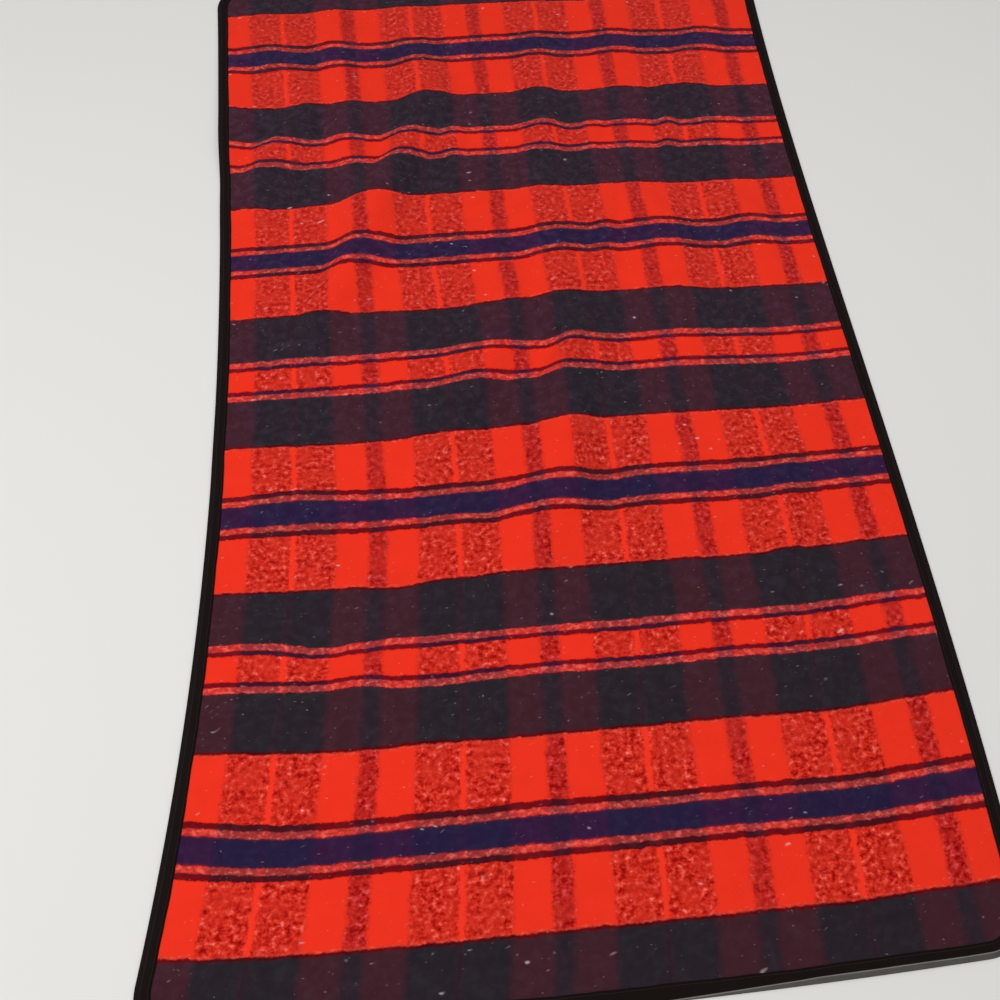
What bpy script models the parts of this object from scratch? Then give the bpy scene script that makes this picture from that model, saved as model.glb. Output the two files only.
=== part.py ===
"""Plaid throw: a bound rectangle of brushed cloth, lying loosely on a floor.

Metres, +Z up. X runs across the throw and Y along it, from the near end to the far end. The origin is
the bottom centre of its box. The cloth is drawn as cut, as places across and along from its middle.
lie() then puts each place where the laid cloth has it, drawn in and bowed, and fold_height() lifts it
where a fold stands off the floor. Between the folds the underside is flat on the floor.
"""
import math
from collections import namedtuple

import bmesh
import bpy

# The throw as cut
WIDTH = 1.300
LENGTH = 2.210
CORNER_RADIUS = 0.075
CLOTH_THICK = 0.0030

# The binding: a tape folded over the cloth's edge and sewn down, one length all the way round
TAPE_REACH = 0.0235
TAPE_THICK = 0.0008
TAPE_CHAMFER = 0.0007
SEWN_THICK = 0.0022
GAP = 0.0003
EDGE_ROOM = 0.0010
RAISED_CORNER_RADIUS = 0.160

# Where the laid cloth departs from its cut shape: shares of the width, or metres
DRAWN_IN_MIDDLE = -0.023
DRAWN_IN_FAR = -0.023
SPREAD_ENDS = 0.051
SIDE_BOW = -0.033
SIDE_TWIST = 0.027
END_CURL = -0.004
END_CURL_FAR = -0.020
END_SKEW = -0.014

# Folds die away over this stretch before each end
FLAT_END = 0.050
FADE_LENGTH = 0.080

# Facets
COLUMN_PITCH = 0.027
ROW_PITCH = 0.076
END_PITCH = 0.070
CORNER_ROW_TURNS = (20, 41, 64, 90)
TAPE_CORNER_STEPS = 8
SIDE_STOPS = (0.0, 0.013, 0.027, 0.040)

CLOTH_RED = (0.60, 0.035, 0.020, 1.0)
TAPE_BLACK = (0.012, 0.010, 0.010, 1.0)

# One row for each place that a fold runs through. reach is how far its left or right flank comes down.
Knot = namedtuple("Knot", "along across height left_reach right_reach")
FOLDS = {
    "long_ridge": (
        Knot(0.000, -0.510, 0.000, 0.050, 0.070),
        Knot(0.140, -0.445, 0.015, 0.055, 0.080),
        Knot(0.290, -0.365, 0.026, 0.065, 0.100),
        Knot(0.430, -0.310, 0.030, 0.100, 0.090),
        Knot(0.530, -0.250, 0.024, 0.065, 0.070),
        Knot(0.610, -0.225, 0.019, 0.065, 0.085),
        Knot(0.710, -0.180, 0.021, 0.080, 0.085),
        Knot(0.860, -0.200, 0.010, 0.065, 0.080),
        Knot(1.050, -0.220, 0.004, 0.060, 0.080),
    ),
    "middle_ridge": (
        Knot(-0.580, -0.130, 0.000, 0.090, 0.110),
        Knot(-0.430, -0.080, 0.009, 0.100, 0.120),
        Knot(-0.290, -0.005, 0.022, 0.110, 0.100),
        Knot(-0.140, 0.030, 0.026, 0.080, 0.080),
        Knot(-0.040, 0.045, 0.024, 0.070, 0.110),
        Knot(0.040, 0.060, 0.018, 0.050, 0.100),
        Knot(0.140, 0.045, 0.018, 0.065, 0.095),
        Knot(0.290, 0.065, 0.015, 0.090, 0.085),
        Knot(0.430, 0.050, 0.007, 0.070, 0.080),
        Knot(0.530, 0.065, 0.012, 0.070, 0.070),
        Knot(0.610, 0.085, 0.018, 0.080, 0.055),
        Knot(0.710, 0.085, 0.014, 0.075, 0.060),
        Knot(0.860, 0.095, 0.007, 0.070, 0.075),
        Knot(1.050, 0.100, 0.002, 0.070, 0.080),
    ),
    "middle_branch": (
        Knot(-0.420, -0.210, 0.000, 0.080, 0.080),
        Knot(-0.290, -0.210, 0.005, 0.090, 0.080),
        Knot(-0.140, -0.210, 0.011, 0.100, 0.080),
        Knot(-0.040, -0.140, 0.018, 0.100, 0.070),
        Knot(0.040, -0.100, 0.015, 0.120, 0.090),
        Knot(0.160, -0.040, 0.009, 0.110, 0.070),
        Knot(0.240, 0.010, 0.000, 0.090, 0.070),
    ),
    "right_ridge": (
        Knot(-0.120, 0.260, 0.000, 0.090, 0.080),
        Knot(0.040, 0.280, 0.007, 0.100, 0.090),
        Knot(0.140, 0.290, 0.011, 0.110, 0.090),
        Knot(0.290, 0.305, 0.014, 0.110, 0.085),
        Knot(0.430, 0.260, 0.005, 0.090, 0.080),
        Knot(0.610, 0.270, 0.007, 0.080, 0.080),
        Knot(0.860, 0.275, 0.008, 0.070, 0.080),
        Knot(1.050, 0.280, 0.002, 0.070, 0.080),
    ),
    "outer_ridge": (
        Knot(0.020, 0.500, 0.000, 0.080, 0.080),
        Knot(0.140, 0.500, 0.005, 0.080, 0.080),
        Knot(0.290, 0.490, 0.013, 0.070, 0.080),
        Knot(0.430, 0.470, 0.004, 0.080, 0.080),
        Knot(0.530, 0.450, 0.006, 0.080, 0.080),
        Knot(0.610, 0.480, 0.007, 0.075, 0.075),
        Knot(0.710, 0.430, 0.010, 0.070, 0.080),
        Knot(0.860, 0.490, 0.008, 0.070, 0.080),
        Knot(1.050, 0.500, 0.003, 0.070, 0.080),
    ),
    "left_ridge": (
        Knot(0.440, -0.350, 0.000, 0.050, 0.060),
        Knot(0.530, -0.355, 0.009, 0.055, 0.060),
        Knot(0.610, -0.370, 0.013, 0.060, 0.070),
        Knot(0.710, -0.360, 0.009, 0.060, 0.060),
        Knot(0.860, -0.380, 0.010, 0.065, 0.065),
        Knot(1.050, -0.380, 0.006, 0.060, 0.060),
    ),
    "corner_ridge": (
        Knot(0.340, -0.590, 0.000, 0.060, 0.070),
        Knot(0.430, -0.580, 0.007, 0.060, 0.070),
        Knot(0.540, -0.545, 0.018, 0.065, 0.095),
        Knot(0.610, -0.515, 0.015, 0.055, 0.080),
        Knot(0.710, -0.450, 0.009, 0.060, 0.065),
        Knot(0.860, -0.530, 0.010, 0.085, 0.090),
        Knot(1.050, -0.540, 0.004, 0.080, 0.080),
    ),
    "lifted_side": (
        Knot(0.500, -0.650, 0.000, 0.060, 0.070),
        Knot(0.610, -0.650, 0.014, 0.060, 0.075),
        Knot(0.710, -0.650, 0.009, 0.060, 0.090),
        Knot(0.860, -0.650, 0.003, 0.060, 0.090),
        Knot(0.960, -0.650, 0.000, 0.060, 0.090),
    ),
    "left_swell": (
        Knot(-0.560, -0.380, 0.000, 0.080, 0.070),
        Knot(-0.480, -0.340, 0.008, 0.075, 0.090),
        Knot(-0.360, -0.440, 0.006, 0.100, 0.090),
        Knot(-0.260, -0.490, 0.008, 0.110, 0.100),
        Knot(-0.140, -0.560, 0.004, 0.100, 0.090),
        Knot(-0.040, -0.580, 0.000, 0.080, 0.080),
    ),
}


def ease(share):
    """Goes from 0 to 1 with a level start and finish."""
    share = min(max(share, 0.0), 1.0)
    return share * share * (3.0 - 2.0 * share)


def spine(knots, along):
    """The fold at this place along, on a smooth curve through its knots, or None past its ends."""
    if not knots[0].along < along < knots[-1].along:
        return None
    step = 0
    while knots[step + 1].along < along:
        step += 1
    first = knots[max(step - 1, 0)]
    start, finish = knots[step], knots[step + 1]
    last = knots[min(step + 2, len(knots) - 1)]
    share = (along - start.along) / (finish.along - start.along)

    def smooth(a, b, c, d):
        return b + 0.5 * share * (
            c - a + share * (2 * a - 5 * b + 4 * c - d + share * (3 * (b - c) + d - a)))

    return Knot(*(smooth(*values) for values in zip(first, start, finish, last)))


def fold_height(across, along):
    """How far the cloth's underside stands off the floor."""
    flat_reach = WIDTH / 2 - SIDE_STOPS[2]
    across = min(max(across, -flat_reach), flat_reach)
    heights = []
    for knots in FOLDS.values():
        knot = spine(knots, along)
        if knot is None:
            continue
        offset = across - knot.across
        reach = knot.left_reach if offset < 0 else knot.right_reach
        if abs(offset) < reach:
            heights.append(max(knot.height, 0.0) * (1 - (offset / reach) ** 2) ** 2)
    fade = ease((LENGTH / 2 - abs(along) - FLAT_END) / FADE_LENGTH)
    return fade * math.hypot(*heights)


def lie(across, along):
    """Where a place on the cut cloth lies on the floor, seen from above."""
    side = across / (WIDTH / 2)
    end = along / (LENGTH / 2)
    x = across * (1 + DRAWN_IN_MIDDLE + DRAWN_IN_FAR * end + SPREAD_ENDS * end ** 2)
    x += SIDE_BOW * end ** 2 + SIDE_TWIST * end ** 3
    y = along + (END_CURL + END_CURL_FAR * end) * side ** 2 + END_SKEW * side * end ** 2
    return x, y


def inset(across, along, radius):
    """Distance inwards from the cut edges, with the corners rounded to this radius."""
    side = WIDTH / 2 - abs(across)
    end = LENGTH / 2 - abs(along)
    if side < radius and end < radius:
        return radius - math.hypot(radius - side, radius - end)
    return min(side, end)


def rounded_half_width(along, drawn_in):
    """Half the width at this place along, for an outline drawn in from the cut edge."""
    radius = CORNER_RADIUS - drawn_in
    past_corner = abs(along) - (LENGTH / 2 - CORNER_RADIUS)
    if past_corner <= 0:
        return WIDTH / 2 - drawn_in
    return WIDTH / 2 - CORNER_RADIUS + math.sqrt(max(radius ** 2 - past_corner ** 2, 0.0))


def evenly(start, finish, pitch):
    """Places from start to finish, both included, no further apart than the pitch."""
    steps = math.ceil((finish - start) / pitch)
    return [start + (finish - start) * step / steps for step in range(steps + 1)]


def column_places():
    """Places across the cloth, closer at the sides, as shares of half its width."""
    inner = WIDTH / 2 - SIDE_STOPS[-1]
    left = [stop - WIDTH / 2 for stop in SIDE_STOPS[:-1]]
    places = left + evenly(-inner, inner, COLUMN_PITCH) + [-place for place in reversed(left)]
    return [place / (WIDTH / 2) for place in places]


def side_rows():
    """Places along the straight sides, between the corners."""
    reach = LENGTH / 2 - CORNER_RADIUS
    return evenly(-reach, reach, ROW_PITCH)


def row_places(drawn_in):
    """Places along the cloth, with the rows that round its corners."""
    rows = side_rows()
    radius = CORNER_RADIUS - drawn_in
    far = [rows[-1] + radius * math.sin(math.radians(turn)) for turn in CORNER_ROW_TURNS]
    return [-place for place in reversed(far)] + rows + far


def cloth_levels(across, along):
    """Underside and top of the cloth, which is pressed thin and raised inside the binding."""
    base = fold_height(across, along)
    distance = inset(across, along, RAISED_CORNER_RADIUS)
    free = ease((distance - SIDE_STOPS[2]) / (SIDE_STOPS[3] - SIDE_STOPS[2]))
    sewn_under = TAPE_THICK + GAP
    under = base + sewn_under * (1 - free)
    thick = SEWN_THICK + (CLOTH_THICK - SEWN_THICK) * free
    return under, under + thick


def cloth_mesh(centre):
    """The closed sheet: a grid of top and underside points joined round the edge."""
    drawn_in = TAPE_THICK + EDGE_ROOM
    columns = column_places()
    rows = row_places(drawn_in)
    mesh = bmesh.new()
    under = []
    top = []
    for along in rows:
        half = rounded_half_width(along, drawn_in)
        under_row = []
        top_row = []
        for share in columns:
            across = share * half
            low, high = cloth_levels(across, along)
            x, y = lie(across, along)
            under_row.append(mesh.verts.new((x - centre[0], y - centre[1], low)))
            top_row.append(mesh.verts.new((x - centre[0], y - centre[1], high)))
        under.append(under_row)
        top.append(top_row)
    for row in range(len(rows) - 1):
        for column in range(len(columns) - 1):
            corners = ((row, column), (row, column + 1), (row + 1, column + 1), (row + 1, column))
            mesh.faces.new([top[r][c] for r, c in corners])
            mesh.faces.new([under[r][c] for r, c in reversed(corners)])
    rim = [(0, column) for column in range(len(columns))]
    rim += [(row, len(columns) - 1) for row in range(1, len(rows))]
    rim += [(len(rows) - 1, column) for column in reversed(range(len(columns) - 1))]
    rim += [(row, 0) for row in reversed(range(1, len(rows) - 1))]
    for (row, column), (next_row, next_column) in zip(rim, rim[1:] + rim[:1]):
        mesh.faces.new((
            under[row][column], under[next_row][next_column],
            top[next_row][next_column], top[row][column]))
    return mesh


def edge_places():
    """Places round the cut edge with their inward directions, anticlockwise from the near left."""
    reach_across = WIDTH / 2 - CORNER_RADIUS
    reach_along = LENGTH / 2 - CORNER_RADIUS
    near = evenly(-reach_across, reach_across, END_PITCH)
    rows = side_rows()
    sides = (
        [((across, -LENGTH / 2), (0, 1)) for across in near],
        [((WIDTH / 2, along), (-1, 0)) for along in rows],
        [((-across, LENGTH / 2), (0, -1)) for across in near],
        [((-WIDTH / 2, -along), (1, 0)) for along in rows],
    )
    corners = ((1, -1), (1, 1), (-1, 1), (-1, -1))
    places = []
    for quarter, (side, (right, far)) in enumerate(zip(sides, corners)):
        places += side
        for step in range(1, TAPE_CORNER_STEPS):
            turn = math.radians(90 * quarter - 90 + 90 * step / TAPE_CORNER_STEPS)
            out = (math.cos(turn), math.sin(turn))
            across = right * reach_across + CORNER_RADIUS * out[0]
            along = far * reach_along + CORNER_RADIUS * out[1]
            places.append(((across, along), (-out[0], -out[1])))
    return places


def tape_section():
    """The folded tape's outline, as distances in from the cut edge and up from the fold height."""
    top = 2 * TAPE_THICK + 2 * GAP + SEWN_THICK
    wall = TAPE_THICK
    inner_corner = wall + TAPE_CHAMFER
    return (
        (TAPE_REACH, 0.0),
        (TAPE_CHAMFER, 0.0),
        (0.0, TAPE_CHAMFER),
        (0.0, top - TAPE_CHAMFER),
        (TAPE_CHAMFER, top),
        (TAPE_REACH, top),
        (TAPE_REACH, top - wall),
        (inner_corner, top - wall),
        (wall, top - inner_corner),
        (wall, inner_corner),
        (inner_corner, wall),
        (TAPE_REACH, wall),
    )


def binding_mesh(centre):
    """The tape's section swept once round the edge."""
    mesh = bmesh.new()
    section = tape_section()
    rings = []
    for (edge_across, edge_along), (in_across, in_along) in edge_places():
        ring = []
        for inwards, up in section:
            across = edge_across + inwards * in_across
            along = edge_along + inwards * in_along
            x, y = lie(across, along)
            level = fold_height(across, along) + up
            ring.append(mesh.verts.new((x - centre[0], y - centre[1], level)))
        rings.append(ring)
    for ring, next_ring in zip(rings, rings[1:] + rings[:1]):
        for point in range(len(section)):
            following = (point + 1) % len(section)
            mesh.faces.new((
                ring[point], ring[following], next_ring[following], next_ring[point]))
    return mesh


def outline_centre():
    """Middle of the laid outline's box, which the origin is put under."""
    points = [lie(*place) for place, _ in edge_places()]
    middle_x = (min(x for x, _ in points) + max(x for x, _ in points)) / 2
    middle_y = (min(y for _, y in points) + max(y for _, y in points)) / 2
    return middle_x, middle_y


def add_object(name, mesh, colour, roughness):
    """Makes a named object of the mesh, smooth shaded, with its own material."""
    bmesh.ops.recalc_face_normals(mesh, faces=mesh.faces)
    data = bpy.data.meshes.new(name)
    mesh.to_mesh(data)
    mesh.free()
    data.shade_smooth()
    data.set_sharp_from_angle(angle=math.radians(40))
    material = bpy.data.materials.new(name)
    material.use_nodes = True
    shader = material.node_tree.nodes["Principled BSDF"]
    shader.inputs["Base Color"].default_value = colour
    shader.inputs["Roughness"].default_value = roughness
    shader.inputs["Metallic"].default_value = 0.0
    data.materials.append(material)
    bpy.context.scene.collection.objects.link(bpy.data.objects.new(name, data))


def main():
    for item in list(bpy.data.objects):
        bpy.data.objects.remove(item)
    centre = outline_centre()
    add_object("cloth", cloth_mesh(centre), CLOTH_RED, 0.95)
    add_object("binding", binding_mesh(centre), TAPE_BLACK, 0.8)


main()
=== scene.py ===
"""The plaid throw as it looks: brushed cloth in its folds, a sewn tape binding, floor, lights and camera.

Metres, in the part's own frame. The cloth is drawn as cut, as places across and along from its middle.
lie() puts each place where the laid cloth has it, and relief() lifts it where a fold stands off the floor.
The cloth's UV map keeps its place on the cut cloth, which the plaid is drawn from.
"""
import math
from collections import namedtuple

import bpy
import numpy as np
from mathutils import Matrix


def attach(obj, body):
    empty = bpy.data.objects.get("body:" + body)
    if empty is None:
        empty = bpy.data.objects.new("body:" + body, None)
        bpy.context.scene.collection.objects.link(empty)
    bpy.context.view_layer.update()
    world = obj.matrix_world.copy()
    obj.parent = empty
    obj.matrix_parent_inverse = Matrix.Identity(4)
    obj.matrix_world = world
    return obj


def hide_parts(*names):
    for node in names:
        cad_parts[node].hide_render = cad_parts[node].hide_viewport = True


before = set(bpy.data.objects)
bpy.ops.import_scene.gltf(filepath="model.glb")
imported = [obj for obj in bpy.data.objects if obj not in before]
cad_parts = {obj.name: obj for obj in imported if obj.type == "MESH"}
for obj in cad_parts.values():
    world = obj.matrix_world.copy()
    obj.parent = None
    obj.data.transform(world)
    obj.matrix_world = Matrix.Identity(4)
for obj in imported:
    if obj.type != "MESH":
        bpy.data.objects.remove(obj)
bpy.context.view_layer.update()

# The throw as cut
WIDTH = 1.300
LENGTH = 2.210
CORNER_RADIUS = 0.075
CLOTH_THICK = 0.0030
SEWN_THICK = 0.0022

# The folded tape, which is sewn down near its inner edge. Waves are rows of (wavelength, height, start)
TAPE_REACH = 0.0235
TAPE_THICK = 0.0008
GAP = 0.0003
TAPE_TOP = 2 * TAPE_THICK + 2 * GAP + SEWN_THICK
TAPE_CROWN = 0.0004
TAPE_WAVES = ((0.310, 0.00045, 0.4), (0.117, 0.00030, 2.1), (0.0430, 0.00018, 4.4))
PUCKER_WAVES = ((0.0170, 0.00016, 1.0), (0.0230, 0.00012, 3.2), (0.0610, 0.00018, 0.2))

# The cloth stops short of the tape's fold by FOLD_ROOM. It is thin and level as far in from the cut edge
# as LEVEL_REACH, and has its full thickness from FREE_REACH on, measured round corners of FREE_CORNER
FOLD_ROOM = 0.0010
LEVEL_REACH = 0.027
FREE_REACH = 0.040
FREE_CORNER = 0.160

# Stitches, each with rings of (share of its length, share of its radius, radii outwards)
STITCH_INSET = 0.0200
STITCH_PITCH = 0.0036
STITCH_LENGTH = 0.0027
STITCH_RADIUS = 0.00032
STITCH_RINGS = ((0.0, 0.25, -0.5), (0.18, 1.0, 0.3), (0.82, 1.0, 0.3), (1.0, 0.25, -0.5))
STITCH_SIDES = 5
STITCH_SIDE_WIDTH = 0.0004
STITCH_LIFT = 0.0001

# Where the laid cloth departs from its cut shape: shares of the width, or metres
DRAWN_IN_MIDDLE = -0.023
DRAWN_IN_FAR = -0.023
SPREAD_ENDS = 0.051
SIDE_BOW = -0.033
SIDE_TWIST = 0.027
END_CURL = -0.004
END_CURL_FAR = -0.020
END_SKEW = -0.014

# The cloth lies flat at each end, and its folds die away over the length before it
FLAT_END = 0.050
FADE_LENGTH = 0.080

# Mesh spacings, and the points on each flat side of the tape's section and round its fold
CLOTH_PITCH = 0.0085
CORNER_ROWS = 12
TAPE_PITCH = 0.010
TAPE_CORNER_STEPS = 16
TAPE_SIDE_POINTS = 6
TAPE_FOLD_POINTS = 13

# The camera, as a phone held over the near end, from the photograph's vanishing lines
CAMERA_FOOT = (-0.2091, -0.8218)
CAMERA_HEIGHT = 1.3646
CAMERA_TILT = math.radians(68.44)
CAMERA_ROLL = math.radians(-4.145)
CAMERA_YAW = math.radians(-9.826)
CAMERA_LENS = 28.8
SENSOR_WIDTH = 36.0

# The floor, just under the throw, and the even light from all round
FLOOR_HALF = 40.0
FLOOR_LEVEL = -0.0006
FLOOR_COLOUR = (0.66, 0.65, 0.63, 1)
FLOOR_ROUGHNESS = 0.9
WORLD_STRENGTH = 0.42

# One row for each place that a fold runs through. reach is how far its left or right flank comes down.
Knot = namedtuple("Knot", "along across height left_reach right_reach")
FOLDS = {
    "long_ridge": (
        Knot(0.000, -0.510, 0.000, 0.050, 0.070),
        Knot(0.140, -0.445, 0.015, 0.055, 0.080),
        Knot(0.290, -0.365, 0.026, 0.065, 0.100),
        Knot(0.430, -0.310, 0.030, 0.100, 0.090),
        Knot(0.530, -0.250, 0.024, 0.065, 0.070),
        Knot(0.610, -0.225, 0.019, 0.065, 0.085),
        Knot(0.710, -0.180, 0.021, 0.080, 0.085),
        Knot(0.860, -0.200, 0.010, 0.065, 0.080),
        Knot(1.050, -0.220, 0.004, 0.060, 0.080),
    ),
    "middle_ridge": (
        Knot(-0.580, -0.130, 0.000, 0.090, 0.110),
        Knot(-0.430, -0.080, 0.009, 0.100, 0.120),
        Knot(-0.290, -0.005, 0.022, 0.110, 0.100),
        Knot(-0.140, 0.030, 0.026, 0.080, 0.080),
        Knot(-0.040, 0.045, 0.024, 0.070, 0.110),
        Knot(0.040, 0.060, 0.018, 0.050, 0.100),
        Knot(0.140, 0.045, 0.018, 0.065, 0.095),
        Knot(0.290, 0.065, 0.015, 0.090, 0.085),
        Knot(0.430, 0.050, 0.007, 0.070, 0.080),
        Knot(0.530, 0.065, 0.012, 0.070, 0.070),
        Knot(0.610, 0.085, 0.018, 0.080, 0.055),
        Knot(0.710, 0.085, 0.014, 0.075, 0.060),
        Knot(0.860, 0.095, 0.007, 0.070, 0.075),
        Knot(1.050, 0.100, 0.002, 0.070, 0.080),
    ),
    "middle_branch": (
        Knot(-0.420, -0.210, 0.000, 0.080, 0.080),
        Knot(-0.290, -0.210, 0.005, 0.090, 0.080),
        Knot(-0.140, -0.210, 0.011, 0.100, 0.080),
        Knot(-0.040, -0.140, 0.018, 0.100, 0.070),
        Knot(0.040, -0.100, 0.015, 0.120, 0.090),
        Knot(0.160, -0.040, 0.009, 0.110, 0.070),
        Knot(0.240, 0.010, 0.000, 0.090, 0.070),
    ),
    "right_ridge": (
        Knot(-0.120, 0.260, 0.000, 0.090, 0.080),
        Knot(0.040, 0.280, 0.007, 0.100, 0.090),
        Knot(0.140, 0.290, 0.011, 0.110, 0.090),
        Knot(0.290, 0.305, 0.014, 0.110, 0.085),
        Knot(0.430, 0.260, 0.005, 0.090, 0.080),
        Knot(0.610, 0.270, 0.007, 0.080, 0.080),
        Knot(0.860, 0.275, 0.008, 0.070, 0.080),
        Knot(1.050, 0.280, 0.002, 0.070, 0.080),
    ),
    "outer_ridge": (
        Knot(0.020, 0.500, 0.000, 0.080, 0.080),
        Knot(0.140, 0.500, 0.005, 0.080, 0.080),
        Knot(0.290, 0.490, 0.013, 0.070, 0.080),
        Knot(0.430, 0.470, 0.004, 0.080, 0.080),
        Knot(0.530, 0.450, 0.006, 0.080, 0.080),
        Knot(0.610, 0.480, 0.007, 0.075, 0.075),
        Knot(0.710, 0.430, 0.010, 0.070, 0.080),
        Knot(0.860, 0.490, 0.008, 0.070, 0.080),
        Knot(1.050, 0.500, 0.003, 0.070, 0.080),
    ),
    "left_ridge": (
        Knot(0.440, -0.350, 0.000, 0.050, 0.060),
        Knot(0.530, -0.355, 0.009, 0.055, 0.060),
        Knot(0.610, -0.370, 0.013, 0.060, 0.070),
        Knot(0.710, -0.360, 0.009, 0.060, 0.060),
        Knot(0.860, -0.380, 0.010, 0.065, 0.065),
        Knot(1.050, -0.380, 0.006, 0.060, 0.060),
    ),
    "corner_ridge": (
        Knot(0.340, -0.590, 0.000, 0.060, 0.070),
        Knot(0.430, -0.580, 0.007, 0.060, 0.070),
        Knot(0.540, -0.545, 0.018, 0.065, 0.095),
        Knot(0.610, -0.515, 0.015, 0.055, 0.080),
        Knot(0.710, -0.450, 0.009, 0.060, 0.065),
        Knot(0.860, -0.530, 0.010, 0.085, 0.090),
        Knot(1.050, -0.540, 0.004, 0.080, 0.080),
    ),
    "lifted_side": (
        Knot(0.500, -0.650, 0.000, 0.060, 0.070),
        Knot(0.610, -0.650, 0.014, 0.060, 0.075),
        Knot(0.710, -0.650, 0.009, 0.060, 0.090),
        Knot(0.860, -0.650, 0.003, 0.060, 0.090),
        Knot(0.960, -0.650, 0.000, 0.060, 0.090),
    ),
    "left_swell": (
        Knot(-0.560, -0.380, 0.000, 0.080, 0.070),
        Knot(-0.480, -0.340, 0.008, 0.075, 0.090),
        Knot(-0.360, -0.440, 0.006, 0.100, 0.090),
        Knot(-0.260, -0.490, 0.008, 0.110, 0.100),
        Knot(-0.140, -0.560, 0.004, 0.100, 0.090),
        Knot(-0.040, -0.580, 0.000, 0.080, 0.080),
    ),
}

# Smaller creases, which stand on whatever the folds leave under them
CREASES = {
    "far_crease": (
        Knot(0.120, 0.160, 0.000, 0.030, 0.030),
        Knot(0.200, 0.165, 0.005, 0.035, 0.035),
        Knot(0.280, 0.168, 0.008, 0.035, 0.035),
        Knot(0.360, 0.182, 0.008, 0.035, 0.040),
        Knot(0.440, 0.188, 0.003, 0.035, 0.035),
        Knot(0.520, 0.182, 0.006, 0.035, 0.035),
        Knot(0.610, 0.192, 0.007, 0.035, 0.035),
        Knot(0.720, 0.200, 0.000, 0.035, 0.035),
    ),
    "far_right_crease": (
        Knot(0.430, 0.350, 0.000, 0.030, 0.030),
        Knot(0.510, 0.354, 0.008, 0.030, 0.035),
        Knot(0.600, 0.368, 0.010, 0.030, 0.035),
        Knot(0.720, 0.382, 0.003, 0.030, 0.035),
        Knot(0.800, 0.390, 0.000, 0.030, 0.030),
    ),
    "far_left_crease": (
        Knot(0.420, -0.132, 0.000, 0.035, 0.040),
        Knot(0.510, -0.130, 0.006, 0.035, 0.040),
        Knot(0.620, -0.130, 0.007, 0.035, 0.040),
        Knot(0.720, -0.128, 0.000, 0.035, 0.040),
    ),
    "ridge_crest": (
        Knot(-0.130, 0.020, 0.000, 0.030, 0.040),
        Knot(-0.050, 0.020, 0.007, 0.035, 0.045),
        Knot(0.020, 0.052, 0.009, 0.035, 0.045),
        Knot(0.090, 0.070, 0.000, 0.030, 0.040),
    ),
    "right_crease": (
        Knot(-0.600, 0.330, 0.000, 0.040, 0.040),
        Knot(-0.520, 0.357, 0.004, 0.045, 0.045),
        Knot(-0.430, 0.395, 0.010, 0.045, 0.050),
        Knot(-0.370, 0.408, 0.009, 0.045, 0.050),
        Knot(-0.280, 0.435, 0.006, 0.045, 0.045),
        Knot(-0.180, 0.440, 0.000, 0.040, 0.040),
    ),
    "near_crease": (
        Knot(-0.800, 0.120, 0.000, 0.040, 0.040),
        Knot(-0.700, 0.130, 0.004, 0.045, 0.045),
        Knot(-0.620, 0.150, 0.000, 0.040, 0.040),
    ),
}

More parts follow.
